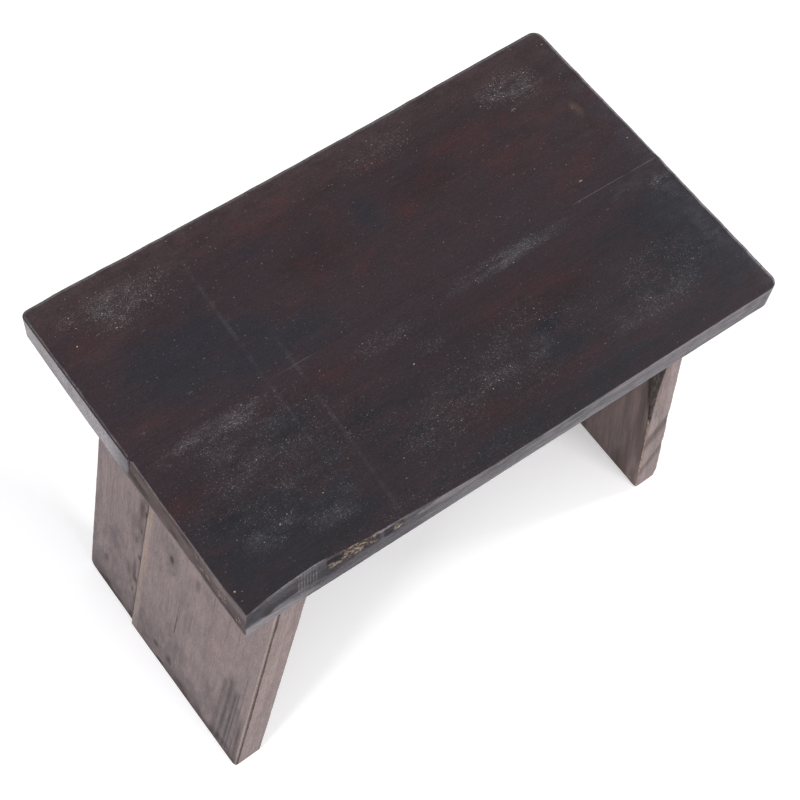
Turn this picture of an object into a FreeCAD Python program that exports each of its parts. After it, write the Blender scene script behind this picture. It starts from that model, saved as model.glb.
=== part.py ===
import FreeCAD, Part
import os

import Sketcher

# A plank footstool. +X runs from the left leg to the right leg, +Y to the back edge, +Z up.
# The origin is on the floor, under the middle of the stool. Lengths are in millimetres, angles in degrees.

DIMENSIONS = {
    # Whole stool
    "stool_height": 358,
    # Seat: two planks edge to edge, a little out of square, with a slanting joint line
    "top_thickness": 24,
    "left_end_x": -214.8,
    "right_back_x": 217.2,
    "right_front_x": 214.3,
    "back_left_y": 134,
    "back_right_y": 131.5,
    "front_left_y": -125.6,
    "front_right_y": -135.2,
    "seam_left_y": 4,
    "seam_right_y": -7.5,
    "right_corner_radius": 8,
    "back_left_corner_radius": 5.5,
    "arris_radius": 1.5,
    # Natural bevel that hollows the upper front edge near the left end
    "wane_start_x": -211,
    "wane_deep_start_x": -185,
    "wane_deep_end_x": -150,
    "wane_end_x": -80,
    "wane_depth": 6.5,
    "wane_taper": 26,
    # Legs: splayed slabs of two planks each, with the front plank standing proud
    "leg_splay": 9,
    "leg_thickness": 23,
    "foot_reach": 223.2,
    "leg_half_width": 107.5,
    "front_board_proud": 1.2,
    "leg_seam_foot_y": 42.3,
    "leg_seam_head_y": 33,
    "housing_depth": 6,
    "rear_foot_radius": 7,
    "front_foot_radius": 3,
    # Dowels
    "dowel_diameter": 8,
    "dowel_length": 40,
    "dowel_chamfer": 0.8,
    "top_dowel_pitch": 130,
    "leg_dowel_low_z": 60,
    "leg_dowel_pitch": 100,
    # Lost-head nails, punched below the surface and filled
    "nail_length": 60,
    "nail_shank_diameter": 3,
    "nail_head_diameter": 4.6,
    "nail_head_height": 2.5,
    "nail_neck_height": 1.5,
    "nail_point_length": 6,
    "nail_punch_depth": 3.5,
    "nail_entry_x": 156,
    "left_nail_1_y": 77,
    "left_nail_2_y": 22,
    "left_nail_3_y": -18,
    "left_nail_4_y": -89,
    "right_nail_1_y": 82,
    "right_nail_2_y": 7,
    "right_nail_3_y": -22,
    "right_nail_4_y": -90,
    # Spare length that cutting shapes have past what they cut
    "overcut": 10,
}
SIDES = {"left": -1, "right": 1}
TOP_DOWELS = 4
LEG_DOWELS = 3
NAILS_PER_LEG = 4
NEAR = 0.05

doc = FreeCAD.newDocument("footstool")
dims = doc.addObject("Spreadsheet::Sheet", "dims")
for row, (alias, number) in enumerate(DIMENSIONS.items(), start=1):
    dims.set(f"A{row}", alias)
    dims.set(f"B{row}", str(number))
    dims.setAlias(f"B{row}", alias)
doc.recompute()

# Places that several pieces share, written as expressions over the sheet
UNDERSIDE_Z = "(dims.stool_height - dims.top_thickness)"
HEAD_Z = "(dims.stool_height - dims.top_thickness + dims.housing_depth)"
SEAM_RIGHT_X = (
    "(dims.right_front_x + (dims.right_back_x - dims.right_front_x)"
    " * (dims.seam_right_y - dims.front_right_y) / (dims.back_right_y - dims.front_right_y))"
)
LEG_LEVEL_THICKNESS = "(dims.leg_thickness / cos(dims.leg_splay))"
PROUD_LEVEL = "(dims.front_board_proud / cos(dims.leg_splay))"


def value(expression):
    """The number that an expression over the sheet comes to."""
    return float(dims.evalExpression(expression))


def top_seam_y(x):
    """Where the seat's joint line is at a place along the seat."""
    run = f"(({x}) - dims.left_end_x) / ({SEAM_RIGHT_X} - dims.left_end_x)"
    return f"(dims.seam_left_y + (dims.seam_right_y - dims.seam_left_y) * {run})"


def front_edge_y(x):
    """Where the seat's front edge is at a place along the seat."""
    run = f"(({x}) - dims.left_end_x) / (dims.right_front_x - dims.left_end_x)"
    return f"(dims.front_left_y + (dims.front_right_y - dims.front_left_y) * {run})"


def leg_seam_y(z):
    """Where the joint line between a leg's two planks is at a height."""
    return f"(dims.leg_seam_foot_y + (dims.leg_seam_head_y - dims.leg_seam_foot_y) * ({z}) / {HEAD_Z})"


def leg_outer_x(z):
    """How far out the outer face of a leg's front plank is at a height."""
    return f"(dims.foot_reach - ({z}) * tan(dims.leg_splay))"


def new_sketch(body, name, role):
    """An empty sketch on one of a body's origin planes."""
    plane = next(feature for feature in body.Origin.OriginFeatures if feature.Role == role)
    sketch = body.newObject("Sketcher::SketchObject", name)
    sketch.AttachmentSupport = [(plane, "")]
    sketch.MapMode = "FlatFace"
    return sketch


def outline(sketch, points):
    """Draws a closed run of lines and ties each corner to its pair of expressions."""
    corners = [FreeCAD.Vector(value(x), value(y), 0) for x, y in points]
    first = sketch.GeometryCount
    count = len(points)
    for i in range(count):
        sketch.addGeometry(Part.LineSegment(corners[i], corners[(i + 1) % count]))
    for i in range(count):
        after = first + (i + 1) % count
        sketch.addConstraint(Sketcher.Constraint("Coincident", first + i, 2, after, 1))
    for i, (x, y) in enumerate(points):
        for kind, expression in (("DistanceX", x), ("DistanceY", y)):
            index = sketch.addConstraint(
                Sketcher.Constraint(kind, -1, 1, first + i, 1, value(expression))
            )
            name = f"{kind}_{first + i}"
            sketch.renameConstraint(index, name)
            sketch.setExpression(f"Constraints.{name}", expression)


def bind(target, **expressions):
    """Ties properties of an object to expressions over the sheet."""
    for name, expression in expressions.items():
        target.setExpression(name, expression)


def place(target, x, y, z):
    """Ties the position of an object to expressions over the sheet."""
    for letter, expression in zip("xyz", (x, y, z)):
        target.setExpression(f"Placement.Base.{letter}", expression)


def edges_where(shape, test):
    """Names of the edges whose middle and direction pass a test."""
    names = []
    for i, edge in enumerate(shape.Edges, start=1):
        middle = edge.valueAt((edge.FirstParameter + edge.LastParameter) / 2)
        ends = [vertex.Point for vertex in edge.Vertexes]
        if test(middle, ends[-1] - ends[0]):
            names.append(f"Edge{i}")
    return names


def dress(body, kind, name, test, size_property, expression):
    """Rounds or bevels the edges of a body's last feature that pass a test."""
    doc.recompute()
    base = body.Tip
    names = edges_where(base.Shape, test)
    if not names:
        raise RuntimeError(f"{body.Label}: no edge for {name}")
    feature = body.newObject(f"PartDesign::{kind}", name)
    feature.Base = (base, names)
    feature.setExpression(size_property, expression)
    doc.recompute()
    return feature


def upright_at(x, y):
    """A test for the upright edge at one corner of the seat."""
    corner_x, corner_y = value(x), value(y)

    def test(middle, run):
        level = abs(run.x) + abs(run.y)
        return level < NEAR and abs(middle.x - corner_x) < NEAR and abs(middle.y - corner_y) < NEAR

    return test


def upper_arris(middle, run):
    """A test for the seat's upper outer edges, with the joint line left sharp."""
    on_top = abs(middle.z - value("dims.stool_height")) < NEAR and abs(run.z) < NEAR
    return on_top and abs(middle.y - value(top_seam_y(str(middle.x)))) > NEAR


def seat_plank(name, points, corners):
    """A seat plank: an outline in plan, as thick as the seat, with its corners rounded."""
    body = doc.addObject("PartDesign::Body", name)
    plan = new_sketch(body, f"{name}_plan", "XY_Plane")
    plan.setExpression("AttachmentOffset.Base.z", UNDERSIDE_Z)
    outline(plan, points)
    pad = body.newObject("PartDesign::Pad", f"{name}_pad")
    pad.Profile = plan
    bind(pad, Length="dims.top_thickness")
    for i, (x, y, radius) in enumerate(corners, start=1):
        dress(body, "Fillet", f"{name}_corner_{i}", upright_at(x, y), "Radius", radius)
    return body


def rear_seat_plank():
    points = [
        ("dims.left_end_x", "dims.seam_left_y"),
        (SEAM_RIGHT_X, "dims.seam_right_y"),
        ("dims.right_back_x", "dims.back_right_y"),
        ("dims.left_end_x", "dims.back_left_y"),
    ]
    corners = [
        ("dims.right_back_x", "dims.back_right_y", "dims.right_corner_radius"),
        ("dims.left_end_x", "dims.back_left_y", "dims.back_left_corner_radius"),
    ]
    body = seat_plank("rear_seat_plank", points, corners)
    dress(body, "Fillet", "rear_seat_arris", upper_arris, "Radius", "dims.arris_radius")
    return body


def front_seat_plank():
    points = [
        ("dims.left_end_x", "dims.front_left_y"),
        ("dims.right_front_x", "dims.front_right_y"),
        (SEAM_RIGHT_X, "dims.seam_right_y"),
        ("dims.left_end_x", "dims.seam_left_y"),
    ]
    corners = [("dims.right_front_x", "dims.front_right_y", "dims.right_corner_radius")]
    body = seat_plank("front_seat_plank", points, corners)
    dress(body, "Fillet", "front_seat_arris", upper_arris, "Radius", "dims.arris_radius")

    wane = new_sketch(body, "wane_plan", "XY_Plane")
    wane.setExpression("AttachmentOffset.Base.z", "dims.stool_height")
    outside = "(dims.front_right_y - dims.overcut)"
    inner_points = [
        (x, f"{front_edge_y(x)} + {depth}")
        for x, depth in (
            ("dims.wane_end_x", "0"),
            ("dims.wane_deep_end_x", "dims.wane_depth"),
            ("dims.wane_deep_start_x", "dims.wane_depth"),
            ("dims.wane_start_x", "0"),
        )
    ]
    outline(wane, [("dims.wane_start_x", outside), ("dims.wane_end_x", outside), *inner_points])
    doc.recompute()
    whole = body.Shape.Volume
    pocket = body.newObject("PartDesign::Pocket", "wane_pocket")
    pocket.Profile = wane
    bind(pocket, Length="dims.top_thickness", TaperAngle="-dims.wane_taper")
    doc.recompute()
    if not body.Shape.Volume < whole - 1:
        raise RuntimeError("the wane cut nothing")
    return body


def leg_plank(side, position):
    """A leg plank: a slanting section with level ends, trimmed to its outline seen from the end."""
    sign = SIDES[side]
    name = f"{side}_{position}_leg_plank"
    inset = PROUD_LEVEL if position == "rear" else "0"
    body = doc.addObject("PartDesign::Body", name)

    section = new_sketch(body, f"{name}_section", "XZ_Plane")
    foot_x = f"({leg_outer_x('0')} - {inset})"
    head_x = f"({leg_outer_x(HEAD_Z)} - {inset})"
    outline(
        section,
        [
            (f"{sign} * {foot_x}", "0"),
            (f"{sign} * {head_x}", HEAD_Z),
            (f"{sign} * ({head_x} - {LEG_LEVEL_THICKNESS})", HEAD_Z),
            (f"{sign} * ({foot_x} - {LEG_LEVEL_THICKNESS})", "0"),
        ],
    )
    pad = body.newObject("PartDesign::Pad", f"{name}_pad")
    pad.Profile = section
    pad.SideType = "Symmetric"
    bind(pad, Length="2 * (dims.leg_half_width + dims.overcut)")
    doc.recompute()
    whole = body.Shape.Volume

    trim = new_sketch(body, f"{name}_trim", "YZ_Plane")
    below = "(-dims.overcut)"
    above = f"({HEAD_Z} + dims.overcut)"
    edge_y = "dims.leg_half_width" if position == "rear" else "(-dims.leg_half_width)"
    wide = "(dims.leg_half_width + 2 * dims.overcut)"
    far_below = "(-2 * dims.overcut)"
    far_above = f"({HEAD_Z} + 2 * dims.overcut)"
    outline(
        trim,
        [
            (f"-{wide}", far_below),
            (wide, far_below),
            (wide, far_above),
            (f"-{wide}", far_above),
        ],
    )
    outline(
        trim,
        [
            (leg_seam_y(below), below),
            (leg_seam_y(above), above),
            (edge_y, above),
            (edge_y, below),
        ],
    )
    pocket = body.newObject("PartDesign::Pocket", f"{name}_pocket")
    pocket.Profile = trim
    pocket.SideType = "Symmetric"
    pocket.Type = "ThroughAll"
    doc.recompute()
    if not 0 < body.Shape.Volume < whole - 1:
        raise RuntimeError(f"{name}: the trim cut nothing")

    corner_y = value(edge_y)

    def foot_corner(middle, run):
        return abs(middle.z) < NEAR and abs(middle.y - corner_y) < NEAR and abs(run.y) < NEAR

    dress(body, "Fillet", f"{name}_foot", foot_corner, "Radius", f"dims.{position}_foot_radius")
    return body


def dowel(label):
    """A dowel along its own Z axis, centred, with bevelled ends."""
    body = doc.addObject("PartDesign::Body", label)
    body.Label = label
    circle = new_sketch(body, f"{label}_circle", "XY_Plane")
    radius = value("dims.dowel_diameter / 2")
    circle.addGeometry(Part.Circle(FreeCAD.Vector(), FreeCAD.Vector(0, 0, 1), radius))
    circle.addConstraint(Sketcher.Constraint("Coincident", 0, 3, -1, 1))
    size = circle.addConstraint(Sketcher.Constraint("Diameter", 0, value("dims.dowel_diameter")))
    circle.renameConstraint(size, "across")
    circle.setExpression("Constraints.across", "dims.dowel_diameter")
    pad = body.newObject("PartDesign::Pad", f"{label}_pad")
    pad.Profile = circle
    pad.SideType = "Symmetric"
    bind(pad, Length="dims.dowel_length")

    def end_rim(middle, run):
        return abs(abs(middle.z) - value("dims.dowel_length / 2")) < NEAR and run.Length < NEAR

    dress(body, "Chamfer", f"{label}_ends", end_rim, "Size", "dims.dowel_chamfer")
    return body


def top_dowel(number):
    body = dowel(f"top_dowel_{number}")
    x = f"({number} - {(TOP_DOWELS + 1) / 2}) * dims.top_dowel_pitch"
    body.Placement.Rotation = FreeCAD.Rotation(FreeCAD.Vector(1, 0, 0), 90)
    place(body, x, top_seam_y(x), "dims.stool_height - dims.top_thickness / 2")
    return body


def leg_dowel(side, number):
    body = dowel(f"{side}_leg_dowel_{number}")
    z = f"(dims.leg_dowel_low_z + {number - 1} * dims.leg_dowel_pitch)"
    # Halfway through the thickness that the two planks share
    depth = "((dims.leg_thickness + dims.front_board_proud) / 2 / cos(dims.leg_splay))"
    body.Placement.Rotation = FreeCAD.Rotation(FreeCAD.Vector(1, 0, 0), 90)
    place(body, f"{SIDES[side]} * ({leg_outer_x(z)} - {depth})", leg_seam_y(z), z)
    return body


def slant(side):
    """The turn about Y that lays a downward line along a leg."""
    return FreeCAD.Rotation(FreeCAD.Vector(0, 1, 0), -SIDES[side] * value("dims.leg_splay"))


def sunk_place(target, side, number, depth):
    """Puts a piece on a nail's line, at a depth below the seat's surface."""
    target.Placement.Rotation = slant(side)
    x = f"{SIDES[side]} * (dims.nail_entry_x + ({depth}) * tan(dims.leg_splay))"
    place(target, x, f"dims.{side}_nail_{number}_y", f"dims.stool_height - ({depth})")


def nail(side, number):
    """A lost-head nail, turned about its own axis, with its head's top at its origin."""
    label = f"{side}_nail_{number}"
    body = doc.addObject("PartDesign::Body", label)
    body.Label = label
    half = new_sketch(body, f"{label}_half", "XZ_Plane")
    neck_z = "(-dims.nail_head_height - dims.nail_neck_height)"
    outline(
        half,
        [
            ("0", "0"),
            ("dims.nail_head_diameter / 2", "0"),
            ("dims.nail_head_diameter / 2", "-dims.nail_head_height"),
            ("dims.nail_shank_diameter / 2", neck_z),
            ("dims.nail_shank_diameter / 2", "-(dims.nail_length - dims.nail_point_length)"),
            ("0", "-dims.nail_length"),
        ],
    )
    turned = body.newObject("PartDesign::Revolution", f"{label}_turned")
    turned.Profile = half
    turned.ReferenceAxis = (half, ["V_Axis"])
    turned.Angle = 360
    sunk_place(body, side, number, "dims.nail_punch_depth * cos(dims.leg_splay)")
    return body


def filler(side, number, seat_blank):
    """The filling over a nail's head: a round plug trimmed level with the seat."""
    label = f"{side}_filler_{number}"
    plug = doc.addObject("Part::Cylinder", f"{label}_plug")
    bind(plug, Radius="dims.nail_head_diameter / 2", Height="dims.nail_punch_depth + dims.overcut")
    sunk_place(plug, side, number, "dims.nail_punch_depth * cos(dims.leg_splay)")
    trimmed = doc.addObject("Part::Common", label)
    trimmed.Label = label
    trimmed.Base = plug
    trimmed.Tool = seat_blank
    return trimmed


def fitted(label, blank, tools):
    """A plank with the housings and holes that its neighbours and fixings need."""
    cutter = doc.addObject("Part::MultiFuse", f"{label}_cutter")
    cutter.Shapes = tools
    cut = doc.addObject("Part::Cut", label)
    cut.Label = label
    cut.Base = blank
    cut.Tool = cutter
    return cut


seat_blanks = {"rear": rear_seat_plank(), "front": front_seat_plank()}
leg_blanks = {
    (side, position): leg_plank(side, position) for side in SIDES for position in ("rear", "front")
}
top_dowels = [top_dowel(number) for number in range(1, TOP_DOWELS + 1)]
leg_dowels = {
    side: [leg_dowel(side, number) for number in range(1, LEG_DOWELS + 1)] for side in SIDES
}
numbered = [(side, number) for side in SIDES for number in range(1, NAILS_PER_LEG + 1)]
nails = {key: nail(*key) for key in numbered}


def nail_y(key):
    return value("dims.{}_nail_{}_y".format(*key))


def seat_position(key):
    """Which seat plank a nail goes through."""
    seam = value(top_seam_y(f"{SIDES[key[0]]} * dims.nail_entry_x"))
    return "rear" if nail_y(key) > seam else "front"


def leg_position(key):
    """Which leg plank a nail goes into."""
    return "rear" if nail_y(key) > value(leg_seam_y(HEAD_Z)) else "front"


fillers = {key: filler(*key, seat_blanks[seat_position(key)]) for key in numbered}

subparts = []
for position, blank in seat_blanks.items():
    through = [key for key in numbered if seat_position(key) == position]
    tools = [*leg_blanks.values(), *top_dowels]
    for key in through:
        tools += [nails[key], fillers[key]]
    subparts.append(fitted(f"top_board_{position}", blank, tools))
for (side, position), blank in leg_blanks.items():
    into = [nails[key] for key in numbered if key[0] == side and leg_position(key) == position]
    subparts.append(fitted(f"{side}_leg_board_{position}", blank, [*into, *leg_dowels[side]]))
subparts += [*top_dowels, *leg_dowels["left"], *leg_dowels["right"], *nails.values(), *fillers.values()]
doc.recompute()

for thing in doc.Objects:
    if "Invalid" in thing.State or "Error" in thing.State:
        raise RuntimeError(f"{thing.Name} failed: {thing.State}")
for subpart in subparts:
    shape = subpart.Shape
    if shape.isNull() or not shape.isValid() or len(shape.Solids) != 1:
        raise RuntimeError(f"{subpart.Label} isn't one valid solid")

os.makedirs("parts", exist_ok=True)
for subpart in subparts:
    subpart.Shape.exportStep(f"parts/{subpart.Label}.step")
    print(f"{subpart.Label}: {subpart.Shape.Volume / 1000:.2f} cm3")
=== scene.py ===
import itertools
import math

import bpy
import numpy as np
from mathutils import Matrix, Vector


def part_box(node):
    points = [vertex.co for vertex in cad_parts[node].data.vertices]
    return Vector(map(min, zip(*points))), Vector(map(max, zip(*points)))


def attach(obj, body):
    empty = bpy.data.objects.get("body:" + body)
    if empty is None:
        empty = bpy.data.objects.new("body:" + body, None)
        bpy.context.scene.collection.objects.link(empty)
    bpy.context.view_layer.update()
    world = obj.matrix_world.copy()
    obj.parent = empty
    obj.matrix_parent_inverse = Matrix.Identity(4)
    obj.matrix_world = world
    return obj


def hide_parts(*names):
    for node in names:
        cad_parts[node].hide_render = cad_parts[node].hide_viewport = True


# A plank footstool in dark stained wood. Places are in metres: +X along the seat, +Y to the back, +Z up.
# Each plank is drawn in its own coordinates first: along the grain, across, and through the thickness.
# Tables of marks, radii and noise sizes, and the functions that paint, are in millimetres.

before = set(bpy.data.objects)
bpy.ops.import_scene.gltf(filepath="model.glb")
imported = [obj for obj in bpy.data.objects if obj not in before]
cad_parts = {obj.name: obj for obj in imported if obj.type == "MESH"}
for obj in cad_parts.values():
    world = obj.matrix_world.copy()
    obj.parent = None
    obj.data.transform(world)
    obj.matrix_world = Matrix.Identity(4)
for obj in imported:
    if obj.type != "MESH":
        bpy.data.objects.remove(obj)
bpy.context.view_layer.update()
MM = 0.001

# Seat and leg sizes, from the frame where a node's box gives them
rear_low, rear_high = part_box("top_board_rear")
front_low, front_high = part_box("top_board_front")
leg_low, leg_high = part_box("right_leg_board_front")
rear_leg_low, rear_leg_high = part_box("right_leg_board_rear")
SEAT_UNDER = rear_low.z
SEAT_TOP = rear_high.z
SEAT_THICKNESS = SEAT_TOP - SEAT_UNDER
LEG_HEAD = leg_high.z
FOOT_REACH = leg_high.x
LEG_SPLAY = math.radians(9)
LEG_THICKNESS = 23 * MM / math.cos(LEG_SPLAY)
REAR_BOARD_INSET = leg_high.x - rear_leg_high.x
LEG_SEAM_FOOT = leg_high.y
LEG_SEAM_HEAD = rear_leg_low.y
SEAM_LEFT = front_high.y
SEAM_RIGHT = rear_low.y
SEAM_RIGHT_X = 215.7 * MM
REAR_RIGHT_Y = 131.5 * MM
FRONT_LEFT_Y = -125.6 * MM
FRONT_RIGHT_X = 214.3 * MM
SEAT_LOW_RADII = (0.8,) * 4
SEAT_LEFT_X = {"rear": rear_low.x - 0.3 * MM, "front": front_low.x + 0.1 * MM}
SIGNS = {"left": -1, "right": 1}

# How finely the planks are divided
ARC_STEPS = 4
LOW_STEPS = 3
WALL_STEPS = 22
TOP_STEPS = 5
FINE = 1.45 * MM
# How far apart the planks lie in the noise that draws their grain
GRAIN_SHIFT = (0.37, 0.23, 0.11)

# The masks that a plank's material reads at each of its points
MASKS = ("worn", "haze", "red", "navy", "side", "under", "rub_and_highlight", "bare", "dark", "brown", "shade")


def lattice(x, y, z, seed):
    """A repeatable number from 0 to 1 for each whole-number place."""
    n = x * 374761393 + y * 668265263 + z * 1440662683 + seed * 974634577
    n = (n ^ (n >> 13)) * 1274126177
    return ((n ^ (n >> 16)) & 0xFFFF) / 0xFFFF


def noise(places, size, seed):
    """Smooth noise from -1 to 1, with a feature size in millimetres along each axis."""
    scaled = places / (np.array(size) * MM)
    cell = np.floor(scaled).astype(np.int64)
    part = scaled - cell
    part = part * part * (3 - 2 * part)
    total = np.zeros(len(places))
    for corner in itertools.product((0, 1), repeat=3):
        weight = np.prod(np.where(corner, part, 1 - part), axis=1)
        total += weight * lattice(*(cell + corner).T, seed)
    return 2 * total - 1


def ease(x, low, high):
    """From 0 at low to 1 at high, with no corners. Low may be the larger."""
    t = np.clip((x - low) / (high - low), 0, 1)
    return t * t * (3 - 2 * t)


def hump(x, low, high, soft):
    """1 from low to high, falling to 0 over a soft margin outside."""
    return ease(x, low - soft, low) * ease(x, high + soft, high)


def patches(places, spots):
    """The strongest of several soft oval patches: along, across, half length, half width, strength."""
    mask = np.zeros(len(places))
    ragged = 0.3 * noise(places, (24, 11, 11), 51) + 0.15 * noise(places, (9, 5, 5), 52)
    for along, across, long, wide, strength in spots:
        far = np.hypot((places[:, 0] - along * MM) / (long * MM), (places[:, 1] - across * MM) / (wide * MM))
        mask = np.maximum(mask, strength * ease(far + ragged, 1.3, 0.2))
    return mask


class Plank:
    """A plank with rounded corners and arrises, as points that can be pushed and painted before it is built.

    Its four corners run anticlockwise from low along, low across. Side 0 is the low across edge, side 1 the
    high along end, side 2 the high across edge and side 3 the low along end. Radii are in millimetres.
    """

    def __init__(self, corners, corner_radii, thickness, top_radii, low_radii, seed):
        self.thickness = thickness
        self.seed = seed
        corners = np.array(corners, float)
        corner_radii = np.array(corner_radii) * MM
        lengths = np.linalg.norm(np.roll(corners, -1, axis=0) - corners, axis=1)
        long_count, wide_count = (max(2 * ARC_STEPS + 2, round(length / FINE)) for length in lengths[:2])
        self.counts = (long_count, wide_count, long_count, wide_count)
        self.loop, self.loop_side = self.outline(corners, corner_radii, lengths)
        self.inward = self.inward_steps()
        self.limit, self.miter = self.corner_steps(corners, corner_radii, lengths)
        loop_places = np.column_stack([self.loop, np.zeros(len(self.loop))])
        waver = 1 + 0.2 * noise(loop_places, (9,) * 3, seed)
        self.top_radius = self.around(top_radii) * waver * MM
        self.low_radius = self.around(low_radii) * waver * MM
        self.shaved = np.zeros((len(self.loop), LOW_STEPS + WALL_STEPS + TOP_STEPS + 1))

    def outline(self, corners, radii, lengths):
        """Points round the outline, with a rounded stretch at each corner."""
        points, sides = [], []
        for side in range(4):
            start, end = corners[side], corners[(side + 1) % 4]
            ahead = (end - start) / lengths[side]
            before = (start - corners[side - 1]) / lengths[side - 1]
            after = (corners[(side + 2) % 4] - end) / lengths[(side + 1) % 4]
            first, last = radii[side], radii[(side + 1) % 4]
            middle = np.linspace(first, lengths[side] - last, self.counts[side] - 2 * ARC_STEPS + 1)
            for step in range(ARC_STEPS):
                turn = math.pi / 4 * (1 + step / ARC_STEPS)
                centre = start + first * (ahead - before)
                points.append(centre + first * (before * math.sin(turn) - ahead * math.cos(turn)))
            points.extend(start + ahead * run for run in middle)
            for step in range(1, ARC_STEPS):
                turn = math.pi / 4 * step / ARC_STEPS
                centre = end + last * (after - ahead)
                points.append(centre + last * (ahead * math.sin(turn) - after * math.cos(turn)))
            sides.extend([side] * self.counts[side])
        return np.array(points), np.array(sides)

    def corner_steps(self, corners, radii, lengths):
        """How far a rounded corner can move in before it is sharp, and the step in from there."""
        limit = np.full(len(self.loop), np.inf)
        miter = np.zeros((len(self.loop), 2))
        starts = np.cumsum((0, *self.counts))
        for corner in range(4):
            ahead = (corners[(corner + 1) % 4] - corners[corner]) / lengths[corner]
            before = (corners[corner] - corners[corner - 1]) / lengths[corner - 1]
            inner = np.array((-ahead[1] - before[1], ahead[0] + before[0]))
            arc = np.arange(starts[corner] - ARC_STEPS + 1, starts[corner] + ARC_STEPS)
            limit[arc] = radii[corner]
            miter[arc] = inner / (1 + ahead @ before)
        return limit, miter

    def inward_steps(self):
        """The step in from each outline point that moves both edges beside it in by one unit."""
        ahead = np.roll(self.loop, -1, axis=0) - self.loop
        ahead /= np.linalg.norm(ahead, axis=1)[:, None]
        after = np.column_stack([-ahead[:, 1], ahead[:, 0]])
        before = np.roll(after, 1, axis=0)
        step = before + after
        step /= np.linalg.norm(step, axis=1)[:, None]
        return step / np.maximum(0.5, np.sum(step * after, axis=1))[:, None]

    def around(self, values, spread=6):
        """One value for each side as one for each outline point, eased across the corners."""
        spread_out = np.array(values, float)[self.loop_side]
        return np.mean([np.roll(spread_out, shift) for shift in range(-spread, spread + 1)], axis=0)

    def levels(self):
        """For each level of the wall: height, step in, and how much it faces up, at each outline point."""
        for step in range(LOW_STEPS):
            turn = math.pi / 2 * step / LOW_STEPS
            lift = self.low_radius * (1 - math.cos(turn))
            yield lift, self.low_radius * (1 - math.sin(turn)), -math.cos(turn)
        for step in range(WALL_STEPS):
            share = step / WALL_STEPS
            lift = self.low_radius * (1 - share) + (self.thickness - self.top_radius) * share
            yield lift, 0 * lift, 0.0
        for step in range(TOP_STEPS + 1):
            turn = math.pi / 2 * step / TOP_STEPS
            lift = self.thickness - self.top_radius * (1 - math.sin(turn))
            yield lift, self.top_radius * (1 - math.cos(turn)), math.sin(turn)

    def wall_heights(self):
        """Heights of the wall's points, one row for each outline point."""
        return np.column_stack([lift for lift, _, _ in self.levels()])

    def cap(self, rim):
        """The points inside a rim: straight lines across it, eased to its four curved sides."""
        long_count, wide_count = self.counts[:2]
        starts = np.cumsum((0, *self.counts))
        closed = np.vstack([rim, rim[:1]])
        low, high_end, high, low_end = (closed[starts[i] : starts[i + 1] + 1] for i in range(4))
        high, low_end = high[::-1], low_end[::-1]
        u = np.linspace(0, 1, long_count + 1)[:, None, None]
        v = np.linspace(0, 1, wide_count + 1)[None, :, None]
        across = (1 - v) * low[:, None] + v * high[:, None]
        along = (1 - u) * low_end[None] + u * high_end[None]
        corner = (1 - u) * ((1 - v) * low[0] + v * high[0]) + u * ((1 - v) * low[-1] + v * high[-1])
        return (across + along - corner)[1:-1, 1:-1].reshape(-1, 2)

    def tuck(self, rim):
        """Slides points that a deep step in has left past a corner, or past each other, back into order."""
        starts = np.cumsum((0, *self.counts))
        for side in range(4):
            here = np.arange(starts[side], starts[side + 1])
            first, last = rim[starts[side]], rim[starts[side + 1] % len(rim)]
            length = np.linalg.norm(last - first)
            ahead = (last - first) / length
            run = (rim[here] - first) @ ahead
            kept = np.append(np.maximum.accumulate(np.clip(run, 0, length)), length)
            rising = np.append(True, np.diff(kept) > 0) & (kept < length)
            rising[-1] = True
            order = np.arange(len(kept))
            rim[here] += (np.interp(order, order[rising], kept[rising])[:-1] - run)[:, None] * ahead
        return rim

    def lay_out(self):
        """Works out every point, its outward direction and where it is."""
        outward = -self.inward / np.linalg.norm(self.inward, axis=1)[:, None]
        rims, normals = [], []
        for index, (lift, step_in, up) in enumerate(self.levels()):
            reach = step_in + self.shaved[:, index]
            rounded = np.minimum(reach, self.limit)[:, None]
            sharp = np.maximum(reach - self.limit, 0)[:, None]
            rim = self.tuck(self.loop + self.inward * rounded + self.miter * sharp)
            rims.append(np.column_stack([rim, lift]))
            side = math.sqrt(max(0.0, 1 - up * up))
            normals.append(np.column_stack([outward * side, np.full(len(outward), up)]))
        count = len(self.loop)
        for rim, height, up in ((rims[0], 0.0, -1.0), (rims[-1], self.thickness, 1.0)):
            inside = self.cap(rim[:, :2])
            rims.append(np.column_stack([inside, np.full(len(inside), height)]))
            normals.append(np.tile((0.0, 0.0, up), (len(inside), 1)))
        self.place = np.vstack(rims)
        self.normal = np.vstack(normals)
        wall = LOW_STEPS + WALL_STEPS + TOP_STEPS + 1
        capped = len(self.place) - wall * count
        self.side = np.concatenate([np.tile(self.loop_side, wall), np.full(capped, -1)])
        self.level_count = wall
        long_count, wide_count = self.counts[:2]
        run, across = np.meshgrid(np.arange(1, long_count), np.arange(1, wide_count), indexing="ij")
        inside = np.stack([across, long_count - run, wide_count - across, run]).reshape(4, -1)
        on_wall = np.where(self.loop_side == np.arange(4)[:, None], 0, long_count)
        self.steps = np.hstack([np.tile(on_wall, wall), inside, inside])
        self.flat = self.place.copy()
        self.masks = {name: np.zeros(len(self.place)) for name in MASKS}
        self.masks["side"] = 1 - np.abs(self.normal[:, 2])
        self.masks["under"] = ease(-self.normal[:, 2], 0.3, 0.9)

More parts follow.
